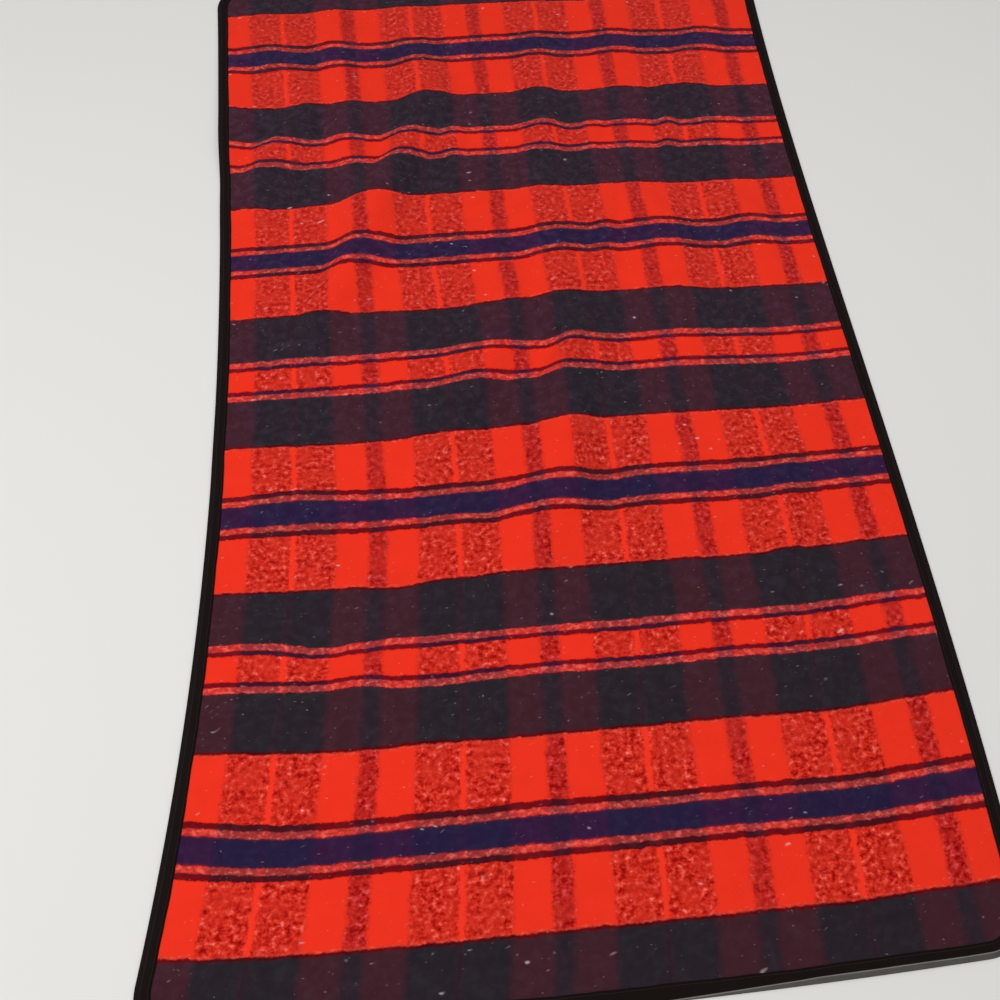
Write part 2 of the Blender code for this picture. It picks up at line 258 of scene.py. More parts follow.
# Places where the weave itself has drifted across and along the throw, as its stripes show
Drift = namedtuple("Drift", "across along half_width half_length shift_across shift_along")
DRIFTS = (
    Drift(-0.64, 0.84, 0.08, 0.20, -0.004, 0.006),
    Drift(-0.38, 0.70, 0.28, 0.34, 0.005, -0.013),
    Drift(-0.52, 0.42, 0.14, 0.10, 0.000, -0.010),
    Drift(-0.20, 0.88, 0.10, 0.14, 0.000, -0.006),
    Drift(0.14, 0.68, 0.18, 0.28, -0.004, -0.008),
    Drift(0.46, 0.42, 0.22, 0.36, -0.004, -0.012),
    Drift(-0.20, 0.46, 0.10, 0.14, -0.008, 0.000),
    Drift(-0.24, 0.26, 0.12, 0.12, -0.005, -0.005),
    Drift(-0.33, 0.25, 0.06, 0.05, 0.000, 0.006),
    Drift(-0.02, 0.31, 0.12, 0.12, -0.005, -0.006),
    Drift(-0.56, 0.12, 0.12, 0.10, 0.000, 0.006),
    Drift(0.14, 0.14, 0.12, 0.10, 0.000, 0.008),
    Drift(0.37, 0.12, 0.10, 0.12, 0.000, 0.005),
    Drift(0.46, -0.06, 0.16, 0.20, -0.010, -0.008),
    Drift(-0.48, -0.25, 0.14, 0.05, 0.003, 0.008),
    Drift(-0.13, -0.32, 0.05, 0.06, 0.000, -0.005),
    Drift(0.08, -0.28, 0.05, 0.07, 0.000, -0.006),
    Drift(-0.32, -0.44, 0.05, 0.05, 0.000, -0.008),
    Drift(0.40, -0.43, 0.05, 0.05, 0.000, 0.004),
    Drift(-0.43, -0.53, 0.06, 0.05, 0.000, -0.010),
    Drift(-0.37, -0.60, 0.05, 0.03, 0.000, 0.006),
    Drift(-0.10, -0.50, 0.12, 0.04, 0.000, -0.004),
    Drift(-0.22, -0.29, 0.10, 0.10, 0.000, -0.005),
    Drift(-0.36, -0.14, 0.24, 0.12, 0.003, -0.012),
    Drift(-0.40, -0.36, 0.16, 0.12, 0.009, -0.007),
    Drift(0.34, -0.42, 0.14, 0.16, -0.004, -0.007),
    Drift(-0.62, -0.66, 0.14, 0.24, 0.004, 0.011),
    Drift(0.20, -0.72, 0.24, 0.16, -0.009, -0.002),
    Drift(0.42, -0.74, 0.12, 0.24, -0.003, -0.008),
    Drift(-0.24, -0.69, 0.06, 0.03, 0.000, 0.004),
    Drift(-0.06, -0.80, 0.10, 0.04, 0.000, 0.004),
    Drift(-0.44, -0.85, 0.10, 0.08, 0.000, -0.004),
    Drift(0.00, -0.96, 0.24, 0.12, 0.003, 0.003),
    Drift(-0.65, -0.87, 0.07, 0.16, 0.000, 0.009),
    Drift(-0.53, -0.51, 0.12, 0.04, 0.000, 0.005),
    Drift(-0.26, -0.61, 0.10, 0.04, 0.000, -0.005),
    Drift(0.12, -0.58, 0.09, 0.08, 0.000, -0.004),
    Drift(-0.20, 0.12, 0.14, 0.05, 0.000, -0.006),
    Drift(0.37, -0.02, 0.12, 0.07, 0.000, 0.004),
)

# Both sets of the plaid's stripes are mirrored about the middle of a band, so half a repeat is enough.
# The nap blurs each stripe's edge over its soft reach, or on either side over SOFTEST_SHARE of a narrow
# stripe. Noise shifts the edges by their wander and fray, which are whole reaches
SOFTEST_SHARE = 0.4

# Warp stripes run along the throw. They are counted outwards from the middle of a dark pair
WARP_REPEAT = 0.303
WARP_MIDDLE = -0.5004
WARP_SOFT = 0.0042
WARP_SOFTER = 0.0110
WARP_WANDER = 0.0100
WARP_FRAY = 0.0150
Warp = namedtuple("Warp", "width line dark navy")
WARP_STRIPES = (
    Warp(0.0050, 1, 0, 0),
    Warp(0.0706, 0, 1, 0),
    Warp(0.0603, 0, 0, 0),
    Warp(0.0156, 0, 0, 1),
)

# Weft bands run across the throw. They are counted outwards from the middle of a navy band, with their
# colours over red, dark and navy warp and over the thin red line in the dark pair. speckled is the share
# of dark warp that shows through, and mottled the share of blotches
WEFT_REPEAT = 0.5706
WEFT_MIDDLE = WEFT_REPEAT / 2
WEFT_SOFT = 0.0022
WEFT_WANDER = 0.0060
WEFT_FRAY = 0.0045
Weft = namedtuple("Weft", "width over_red over_dark over_navy over_line speckled mottled")
WEFT_BANDS = (
    Weft(0.0182, (46, 18, 53), (32, 21, 53), (37, 19, 50), (36, 20, 52), 0, 0),
    Weft(0.0026, (90, 14, 36), (58, 16, 38), (64, 16, 38), (70, 16, 36), 0, 0),
    Weft(0.0100, (200, 58, 49), (148, 52, 51), (146, 50, 53), (178, 56, 50), 0, 1),
    Weft(0.0104, (104, 3, 12), (66, 7, 18), (64, 8, 24), (84, 5, 16), 0, 0),
    Weft(0.0994, (222, 46, 27), (196, 43, 29), (180, 38, 28), (228, 49, 30), 1, 0),
    Weft(0.0032, (212, 58, 40), (196, 54, 40), (186, 52, 42), (208, 56, 40), 0.5, 0.6),
    Weft(0.0052, (88, 0, 4), (66, 0, 6), (68, 0, 8), (76, 0, 6), 0, 0),
    Weft(0.0937, (57, 26, 35), (34, 27, 34), (39, 27, 35), (38, 25, 33), 0, 0),
    Weft(0.0018, (98, 12, 22), (70, 16, 28), (72, 16, 30), (84, 14, 25), 0, 0),
    Weft(0.0108, (202, 57, 49), (150, 54, 54), (148, 53, 56), (182, 56, 50), 0, 1),
    Weft(0.0086, (110, 3, 16), (60, 8, 30), (62, 9, 36), (80, 6, 24), 0, 0),
    Weft(0.0208, (222, 46, 27), (196, 43, 29), (180, 38, 28), (228, 49, 30), 1, 0),
)

# Noises have blotches of these sizes along u and v, and each material's are on layers of their own
Grain = namedtuple("Grain", "u_size v_size layer detail twist", defaults=(2.0, 0.0))
GRAIN_ROUGHNESS = 0.6
WEFT_WANDER_GRAIN = Grain(0.0180, 0.0400, layer=0.5, detail=1.0)
WEFT_FRAY_GRAIN = Grain(0.0060, 0.0035, layer=1.0)
WARP_WANDER_GRAIN = Grain(0.0500, 0.0140, layer=1.5, detail=1.0)
WARP_FRAY_GRAIN = Grain(0.0040, 0.0050, layer=2.0)
SPECKLE_GRAIN = Grain(0.0100, 0.0088, layer=3.0, detail=3.0)
PATCH_GRAIN = Grain(0.0450, 0.0450, layer=4.0)
BLOTCH_GRAIN = Grain(0.0110, 0.0075, layer=5.0, detail=2.5, twist=0.3)
HAZE_GRAIN = Grain(0.0190, 0.0160, layer=6.0, detail=4.0, twist=0.6)
SHADE_GRAIN = Grain(0.0500, 0.0400, layer=7.0, detail=6.0)
LINT_GRAIN = Grain(0.0500, 0.0500, layer=8.0)
TUFT_GRAIN = Grain(0.0090, 0.0050, layer=9.0, detail=3.0, twist=0.5)
FIBRE_GRAIN = Grain(0.0022, 0.0012, layer=10.0)
FUZZ_GRAIN = Grain(0.0030, 0.0030, layer=1.0, detail=3.0)
# The next noise makes the painted highlight on the tape's fold uneven
HIGHLIGHT_GRAIN = Grain(0.0300, 0.0200, layer=2.0, detail=3.0)

# Each pair below is a low and a high value between which something comes or goes. FAR_STRETCH is the
# stretch along the throw over which its colours change from near to far
FAR_STRETCH = (-1.10, 1.00)

# Speckle, from dark dots to pale pinkish fibres as its noise rises. Between its patches it is fainter, and
# at the far end too, and its tint is another over navy warp and at the far end
SPECKLE = (
    (0.28, (108, 3, 3)),
    (0.40, (152, 13, 7)),
    (0.50, (190, 36, 23)),
    (0.59, (208, 58, 43)),
    (0.68, (226, 98, 84)),
    (0.78, (240, 150, 140)),
)
PATCHES = (0.36, 0.58)
SPECKLE_FAINTEST = 0.42
SPECKLE_FAR = 0.60
SPECKLE_NAVY_TINT = (0.80, 0.62, 0.92, 1)
SPECKLE_FAR_TINT = (0.92, 1.02, 1.36, 1)

# Blotches on the pale lines, warm where their noise is high and cool where it is low
WARM_BLOTCHES = (0.50, 0.68)
WARM_COLOUR = (230, 102, 88)
COOL_BLOTCHES = (0.34, 0.56)
COOL_COLOUR = (138, 22, 32)
BLOTCH_STRENGTH = 0.60

# The share by which the shade changes slowly over the whole cloth
SHADE_CHANGE = 0.09

# A haze of pale fibres, by its noise. It goes as the red of the colour under it rises. Its near and far
# tints
# are painted sheen: fainter near, and stronger and more violet far, where it is seen at a grazing angle
HAZE = (
    (0.30, (0.0, 0.0, 0.0, 1)),
    (0.50, (0.0042, 0.0036, 0.0041, 1)),
    (0.74, (0.0160, 0.0135, 0.0150, 1)),
)
HAZE_NEAR_SHEEN = (0.4, 0.5, 0.5, 1)
HAZE_FAR_SHEEN = (1.9, 1.1, 2.0, 1)
HAZE_GOES = (0.06, 0.30)

# Lint, as rows of (cell size, share of cells left empty, greatest strength). A noise bends it by up to
# these reaches across and along, and each fleck fades out between two distances from its cell's middle
LINT = ((0.0200, 0.972, 0.70), (0.0120, 0.94, 0.26), (0.0080, 0.93, 0.16))
LINT_BEND_ACROSS = 0.04
LINT_BEND_ALONG = 0.03
LINT_GOES = (0.02, 0.30)
LINT_FAINTEST = 0.08
LINT_COLOUR = (200, 186, 188)

# The cloth's surface, and the heights of its brushed nap
CLOTH_SURFACE = {
    "Roughness": 0.92,
    "Specular IOR Level": 0.04,
    "Sheen Weight": 0.02,
    "Sheen Roughness": 0.55,
    "Sheen Tint": (1.0, 0.85, 0.80, 1),
}
CLOTH_BUMP = 0.6
TUFT_RISE = 0.0010
FIBRE_RISE = 0.0002

# The tape's surface, weave and colours
TAPE_SURFACE = {"Roughness": 0.85, "Specular IOR Level": 0.08}
TAPE_BUMP = 0.7
TAPE_RIB = 0.0011
RIB_RISE = 0.00006
FUZZ_RISE = 0.0004
TAPE_DARK = (13, 6, 5)
TAPE_FUZZY = (22, 14, 12)

# Along the near side the tape's fold catches the light, painted as a highlight: a pale strip over the fold,
# with a paler crest near the strip's inner edge. Places run across the tape from its upper sewn edge, and
# along it from the near left corner. The inner edge moves from STRIP_NARROW to STRIP_WIDE over
# STRIP_WIDENS.
# STRIP_INNER and the crest's places are measured from it. The last two are the painted highlight's share
# outside the strip, and its least share in it
STRIP_COMES = (0.630, 0.700)
STRIP_GOES = (1.150, 1.210)
STRIP_WIDENS = (0.660, 0.900)
STRIP_NARROW = 0.0212
STRIP_WIDE = 0.0140
STRIP_INNER = (-0.0004, 0.0006)
STRIP_OUTER = (0.0250, 0.0260)
HIGHLIGHT_STRIP_COLOUR = (84, 80, 77)
CREST_INSET = 0.0008
CREST_HALF = (0.0002, 0.0012)
HIGHLIGHT_CREST_COLOUR = (122, 118, 114)
HIGHLIGHT_ELSEWHERE = 0.03
HIGHLIGHT_LEAST = 0.55

# Sewing thread
THREAD_ROUGHNESS = 0.6
THREAD_TWIST = 0.0009
THREAD_DARK = (9, 7, 7)
THREAD_PALE = (24, 20, 20)
THREAD_SHARES = (0.4, 0.6)


def ease(share):
    """Goes from 0 to 1 with a level start and finish."""
    share = np.clip(share, 0.0, 1.0)
    return share * share * (3.0 - 2.0 * share)


def fold_relief(knots, across, along):
    """Height of one fold over each place, on smooth curves through its knots."""
    table = np.array(knots)
    stops = table[:, 0]
    step = np.clip(np.searchsorted(stops, along) - 1, 0, len(stops) - 2)
    share = ((along - stops[step]) / (stops[step + 1] - stops[step]))[:, None]
    before, start = table[np.maximum(step - 1, 0)], table[step]
    finish, after = table[step + 1], table[np.minimum(step + 2, len(stops) - 1)]
    knot = start + 0.5 * share * (
        finish - before + share * (
            2 * before - 5 * start + 4 * finish - after
            + share * (3 * (start - finish) + after - before)))
    _, middle, height, left_reach, right_reach = knot.T
    offset = across - middle
    reach = np.where(offset < 0, left_reach, right_reach)
    share_out = np.clip(np.abs(offset) / reach, 0.0, 1.0)
    inside = (along > stops[0]) & (along < stops[-1])
    return np.where(inside, np.maximum(height, 0.0) * (1 - share_out ** 2) ** 2, 0.0)


def relief(across, along):
    """How far the cloth's underside stands off the floor at each place."""
    flat_reach = WIDTH / 2 - LEVEL_REACH
    held = np.clip(across, -flat_reach, flat_reach)
    total = np.zeros_like(held)
    for knots in FOLDS.values():
        total += fold_relief(knots, held, along) ** 2
    height = np.sqrt(total)
    for knots in CREASES.values():
        height = height + fold_relief(knots, held, along)
    fade = ease((LENGTH / 2 - np.abs(along) - FLAT_END) / FADE_LENGTH)
    return fade * height


def lie(across, along):
    """Where places on the cut cloth lie on the floor, seen from above."""
    side = across / (WIDTH / 2)
    end = along / (LENGTH / 2)
    x = across * (1 + DRAWN_IN_MIDDLE + DRAWN_IN_FAR * end + SPREAD_ENDS * end ** 2)
    x = x + SIDE_BOW * end ** 2 + SIDE_TWIST * end ** 3
    y = along + (END_CURL + END_CURL_FAR * end) * side ** 2 + END_SKEW * side * end ** 2
    return x, y


def woven_place(across, along):
    """The place in the plaid that shows at each place on the cut cloth, where the weave has drifted."""
    plaid_across = across.copy()
    plaid_along = along.copy()
    for row in DRIFTS:
        far_across = (across - row.across) / row.half_width
        far_along = (along - row.along) / row.half_length
        share = np.exp(-(far_across ** 2) - far_along ** 2)
        plaid_across -= row.shift_across * share
        plaid_along -= row.shift_along * share
    return np.stack((plaid_across, plaid_along), axis=-1)


def inset(across, along, radius):
    """Distance inwards from the cut edges, with the corners rounded to this radius."""
    side = WIDTH / 2 - np.abs(across)
    end = LENGTH / 2 - np.abs(along)
    round_part = radius - np.hypot(radius - side, radius - end)
    return np.where((side < radius) & (end < radius), round_part, np.minimum(side, end))


def edge_places():
    """Places round the cut edge, their inward directions and the distance run, from the near left."""
    reach = np.array((WIDTH / 2 - CORNER_RADIUS, LENGTH / 2 - CORNER_RADIUS))
    places = []
    inwards = []
    for quarter, (right, far) in enumerate(((1, -1), (1, 1), (-1, 1), (-1, -1))):
        out = np.array((math.sin(quarter * math.pi / 2), -math.cos(quarter * math.pi / 2)))
        ahead = np.array((-out[1], out[0]))
        half = abs(ahead @ reach)
        steps = math.ceil(2 * half / TAPE_PITCH)
        for step in range(steps + 1):
            run = -half + 2 * half * step / steps
            places.append(out * (abs(out @ reach) + CORNER_RADIUS) + ahead * run)
            inwards.append(-out)
        for step in range(1, TAPE_CORNER_STEPS):
            turn = math.radians(90) * (quarter - 1 + step / TAPE_CORNER_STEPS)
            round_out = np.array((math.cos(turn), math.sin(turn)))
            places.append(reach * (right, far) + CORNER_RADIUS * round_out)
            inwards.append(-round_out)
    places = np.array(places)
    gaps = np.linalg.norm(np.diff(places, axis=0, append=places[:1]), axis=1)
    distance = np.concatenate(((0.0,), np.cumsum(gaps)[:-1]))
    return places, np.array(inwards), distance, gaps.sum()


def outline_middle():
    """Middle of the laid outline's box, which the part's origin is under."""
    places = edge_places()[0]
    x, y = lie(places[:, 0], places[:, 1])
    return (x.min() + x.max()) / 2, (y.min() + y.max()) / 2


MIDDLE = outline_middle()


def laid(across, along, level):
    """Points in the part's frame for places on the cut cloth at a level over the folds."""
    x, y = lie(across, along)
    return np.stack((x - MIDDLE[0], y - MIDDLE[1], relief(across, along) + level), axis=-1)


def new_object(name, points, faces, material, uvs=None):
    """Makes a smooth shaded mesh object, with a UV place for each point if they are given."""
    data = bpy.data.meshes.new(name)
    data.from_pydata([tuple(point) for point in points], [], [tuple(face) for face in faces])
    if uvs is not None:
        layer = data.uv_layers.new(name="cut")
        corners = np.empty(len(data.loops), dtype=np.int32)
        data.loops.foreach_get("vertex_index", corners)
        layer.data.foreach_set("uv", np.asarray(uvs)[corners].ravel())
    data.materials.append(material)
    data.shade_smooth()
    data.update()
    item = bpy.data.objects.new(name, data)
    bpy.context.scene.collection.objects.link(item)
    return item


def cloth_grid():
    """Places of the cloth's grid, as arrays of rows and columns."""
    radius = CORNER_RADIUS - TAPE_THICK - FOLD_ROOM
    straight = LENGTH / 2 - CORNER_RADIUS
    turns = np.radians(90) * np.arange(1, CORNER_ROWS + 1) / CORNER_ROWS
    far = straight + radius * np.sin(turns)
    rows = np.linspace(-straight, straight, math.ceil(2 * straight / CLOTH_PITCH) + 1)
    rows = np.concatenate((-far[::-1], rows, far))
    past = np.clip(np.abs(rows) - straight, 0.0, radius)
    half = WIDTH / 2 - CORNER_RADIUS + np.sqrt(radius ** 2 - past ** 2)
    shares = np.linspace(-1, 1, math.ceil(WIDTH / CLOTH_PITCH) + 1)
    across = half[:, None] * shares[None, :]
    along = np.repeat(rows[:, None], len(shares), axis=1)
    return across, along


def make_cloth(material):
    """The sheet: a fine grid of top and underside, joined round the edge."""
    across, along = cloth_grid()
    rows, columns = across.shape
    across, along = across.ravel(), along.ravel()
    free = ease((inset(across, along, FREE_CORNER) - LEVEL_REACH) / (FREE_REACH - LEVEL_REACH))
    under = (TAPE_THICK + GAP) * (1 - free)
    top = under + SEWN_THICK + (CLOTH_THICK - SEWN_THICK) * free
    points = np.concatenate((laid(across, along, top), laid(across, along, under)))
    index = np.arange(rows * columns).reshape(rows, columns)
    quads = np.stack((index[:-1, :-1], index[:-1, 1:], index[1:, 1:], index[1:, :-1]), axis=-1)
    quads = quads.reshape(-1, 4)
    below = rows * columns
    rim = np.concatenate((index[0, :-1], index[:-1, -1], index[-1, :0:-1], index[:0:-1, 0]))
    following = np.roll(rim, -1)
    wall = np.stack((rim, rim + below, following + below, following), axis=-1)
    faces = np.concatenate((quads, quads[:, ::-1] + below, wall))
    cut = woven_place(across, along)
    return new_object("throw_cloth", points, faces.tolist(), material, np.concatenate((cut, cut)))


def tape_section():
    """The folded tape's outline, as distances in from the cut edge and up from the fold height."""
    radius = TAPE_TOP / 2
    legs = np.linspace(TAPE_REACH, radius, TAPE_SIDE_POINTS)
    turns = np.radians(np.linspace(90, 270, TAPE_FOLD_POINTS))
    outer = [(leg, TAPE_TOP) for leg in legs[:-1]]
    outer += [(radius + radius * math.cos(turn), radius + radius * math.sin(turn)) for turn in turns]
    outer += [(leg, 0.0) for leg in legs[::-1][1:]]
    inner_radius = radius - TAPE_THICK
    inner = [(leg, TAPE_THICK) for leg in legs[:-1]]
    inner += [
        (radius + inner_radius * math.cos(turn), radius + inner_radius * math.sin(turn))
        for turn in turns[::-1]]
    inner += [(leg, TAPE_TOP - TAPE_THICK) for leg in legs[::-1][1:]]
    return np.array(outer + inner)


def waves(table, distance, whole):
    """Adds up a table's waves at this distance, with a whole number of each round the edge."""
    total = 0.0
    for wavelength, height, start in table:
        turns = round(whole / wavelength)
        total += height * math.sin(2 * math.pi * turns * distance / whole + start)
    return total


def make_binding(material):
    """The tape, whose sewn edge wanders and whose face puckers a little between stitches."""
    places, inwards, distance, whole = edge_places()
    section = tape_section()
    steps = np.linalg.norm(np.diff(section, axis=0), axis=1)
    tape_place = np.concatenate(((0.0,), np.cumsum(steps)))
    rings = []
    for place, inward, run in zip(places, inwards, distance):
        ring = section.copy()
        share = np.clip((ring[:, 0] - TAPE_TOP / 2) / (TAPE_REACH - TAPE_TOP / 2), 0.0, 1.0)
        ring[:, 0] += share * waves(TAPE_WAVES, run, whole)
        crown = 4 * share * (1 - share)
        upper = ring[:, 1] > TAPE_TOP / 2
        ring[:, 1] += np.where(upper, crown * (TAPE_CROWN + waves(PUCKER_WAVES, run, whole)), 0.0)
        spot = place[None, :] + ring[:, :1] * inward[None, :]
        rings.append(laid(spot[:, 0], spot[:, 1], ring[:, 1]))
    count = len(section)
    index = np.arange(len(rings) * count).reshape(len(rings), count)
    ahead = np.roll(index, -1, axis=0)
    faces = np.stack((index, np.roll(index, -1, axis=1), np.roll(ahead, -1, axis=1), ahead), axis=-1)
    uvs = np.stack((np.repeat(distance, count), np.tile(tape_place, len(rings))), axis=-1)
    faces = faces.reshape(-1, 4)[:, ::-1].tolist()
    return new_object("tape_binding", np.concatenate(rings), faces, material, uvs)


def make_stitching(name, level, outwards, material):
    """One row of short stitches round the tape, at this level over the folds."""
    places, inwards, distance, whole = edge_places()
    closed = np.append(distance, whole)
    count = round(whole / STITCH_PITCH)
    points = []
    faces = []
    uvs = []
    for number in range(count):
        base = len(points)
        for along_stitch, width, rise in STITCH_RINGS:
            run = number * whole / count + along_stitch * STITCH_LENGTH
            place, inward = (
                np.array([np.interp(run, closed, np.append(table[:, k], table[0, k])) for k in (0, 1)])
                for table in (places, inwards))
            seam = STITCH_INSET + waves(TAPE_WAVES, run, whole)
            middle = level + outwards * STITCH_RADIUS * rise
            for side in range(STITCH_SIDES):
                turn = 2 * math.pi * side / STITCH_SIDES
                spot = place + (seam + STITCH_RADIUS * width * math.cos(turn)) * inward
                points.append((*spot, middle + STITCH_RADIUS * width * math.sin(turn)))
                uvs.append((run, side * STITCH_SIDE_WIDTH))
        ring_starts = range(base, len(points), STITCH_SIDES)
        for low in ring_starts[:-1]:
            for side in range(STITCH_SIDES):
                following = (side + 1) % STITCH_SIDES
                high = low + STITCH_SIDES
                faces.append((low + side, low + following, high + following, high + side))
        faces.append(tuple(base + side for side in reversed(range(STITCH_SIDES))))
        faces.append(tuple(ring_starts[-1] + side for side in range(STITCH_SIDES)))
    spots = np.array(points)
    return new_object(name, laid(spots[:, 0], spots[:, 1], spots[:, 2]), faces, material, np.array(uvs))


def linear(red, green, blue):
    """A colour for a shader from its display values of 0 to 255."""
    shares = (value / 255 for value in (red, green, blue))
    values = (share / 12.92 if share <= 0.04045 else ((share + 0.055) / 1.055) ** 2.4 for share in shares)
    return (*values, 1.0)


class Shading:
    """Builds a material's nodes. A value may be a number, a colour or another node's socket."""

    def __init__(self, name):
        self.material = bpy.data.materials.new(name)
        self.material.use_nodes = True
        self.tree = self.material.node_tree
        self.shader = self.tree.nodes["Principled BSDF"]
        place = self.tree.nodes.new("ShaderNodeUVMap").outputs[0]
        self.u, self.v, _ = self.split("ShaderNodeSeparateXYZ", place)

    def feed(self, socket, value):
        """Gives a node's input its value, or links it to another node's socket."""
        if isinstance(value, bpy.types.NodeSocket):
            self.tree.links.new(value, socket)
        else:
            socket.default_value = value

    def add(self, kind, inputs, **settings):
        """Adds a node with these inputs and settings, and returns its first output."""
        node = self.tree.nodes.new(kind)
        for name, value in settings.items():
            setattr(node, name, value)
        for name, value in inputs.items():
            self.feed(node.inputs[name], value)
        return node.outputs[0]

    def math(self, operation, *values):
        return self.add("ShaderNodeMath", dict(enumerate(values)), operation=operation)

    def split(self, kind, value):
        """The three parts of a place or of a colour."""
        node = self.tree.nodes.new(kind)
        self.feed(node.inputs[0], value)
        return node.outputs[:3]

    def grain(self, grain):
        """A noise of this grain."""
        vector = self.add("ShaderNodeCombineXYZ", {
            0: self.math("DIVIDE", self.u, grain.u_size),
            1: self.math("DIVIDE", self.v, grain.v_size),
            2: grain.layer})
        return self.add("ShaderNodeTexNoise", {
            "Vector": vector, "Scale": 1.0, "Detail": grain.detail,
            "Roughness": GRAIN_ROUGHNESS, "Distortion": grain.twist})

    def step_up(self, value, low, high):
        """Goes from 0 at low to 1 at high, softly."""
        inputs = {"Value": value, "From Min": low, "From Max": high}
        return self.add("ShaderNodeMapRange", inputs, interpolation_type="SMOOTHSTEP")

    def step_down(self, value, low, high):
        """Goes from 1 at low to 0 at high, softly."""
        return self.math("SUBTRACT", 1.0, self.step_up(value, low, high))

    def between(self, value, low, high):
        """Goes evenly from low at 0 to high at 1."""
        return self.add("ShaderNodeMapRange", {"Value": value, "To Min": low, "To Max": high})

    def wander(self, place, *shares):
        """Shifts a place by noises, each about its middle, of these whole reaches in metres."""
        for noise, reach in shares:
            place = self.math("MULTIPLY_ADD", noise, reach, self.math("SUBTRACT", place, reach / 2))
        return place

    def mix(self, share, first, second, blend="MIX"):
        """Mixes this share of the second colour into the first."""
        node = self.tree.nodes.new("ShaderNodeMix")
        node.data_type = "RGBA"
        node.blend_type = blend
        for socket, value in ((0, share), (6, first), (7, second)):
            self.feed(node.inputs[socket], value)
        return node.outputs[2]

    def tinted(self, colour, tint):
        return self.mix(1.0, colour, tint, blend="MULTIPLY")

    def ramp(self, value, stops):
        """Colours that run evenly from stop to stop of (value, colour)."""
        node = self.tree.nodes.new("ShaderNodeValToRGB")
        elements = node.color_ramp.elements
        elements.remove(elements[-1])
        for number, (stop, colour) in enumerate(stops):
            element = elements[0] if number == 0 else elements.new(stop)
            element.position = stop
            element.color = colour
        self.feed(node.inputs[0], value)
        return node.outputs[0]

    def bands(self, place, widths, colours, soft):
        """Colours in bands of these widths, from 0 to their sum, with edges blurred over a soft reach."""
        whole = sum(widths)
        stops = [(0.0, colours[0])]
        edge = 0.0
        for number in range(1, len(widths)):
            edge += widths[number - 1]
            narrower = min(widths[number - 1], widths[number])
            half = min(soft / 2, SOFTEST_SHARE * narrower)
            stops.append(((edge - half) / whole, colours[number - 1]))
            stops.append(((edge + half) / whole, colours[number]))
        return self.ramp(self.math("DIVIDE", place, whole), stops)

    def finish(self, colour, surface, height=None, strength=0.0):
        """Gives the shader its colour, its surface's constants and a bump of this height in metres."""
        self.feed(self.shader.inputs["Base Color"], colour)
        for name, value in surface.items():
            self.shader.inputs[name].default_value = value
        if height is not None:
            bump = self.add("ShaderNodeBump", {"Strength": strength, "Distance": 1.0, "Height": height})
            self.feed(self.shader.inputs["Normal"], bump)
        return self.material


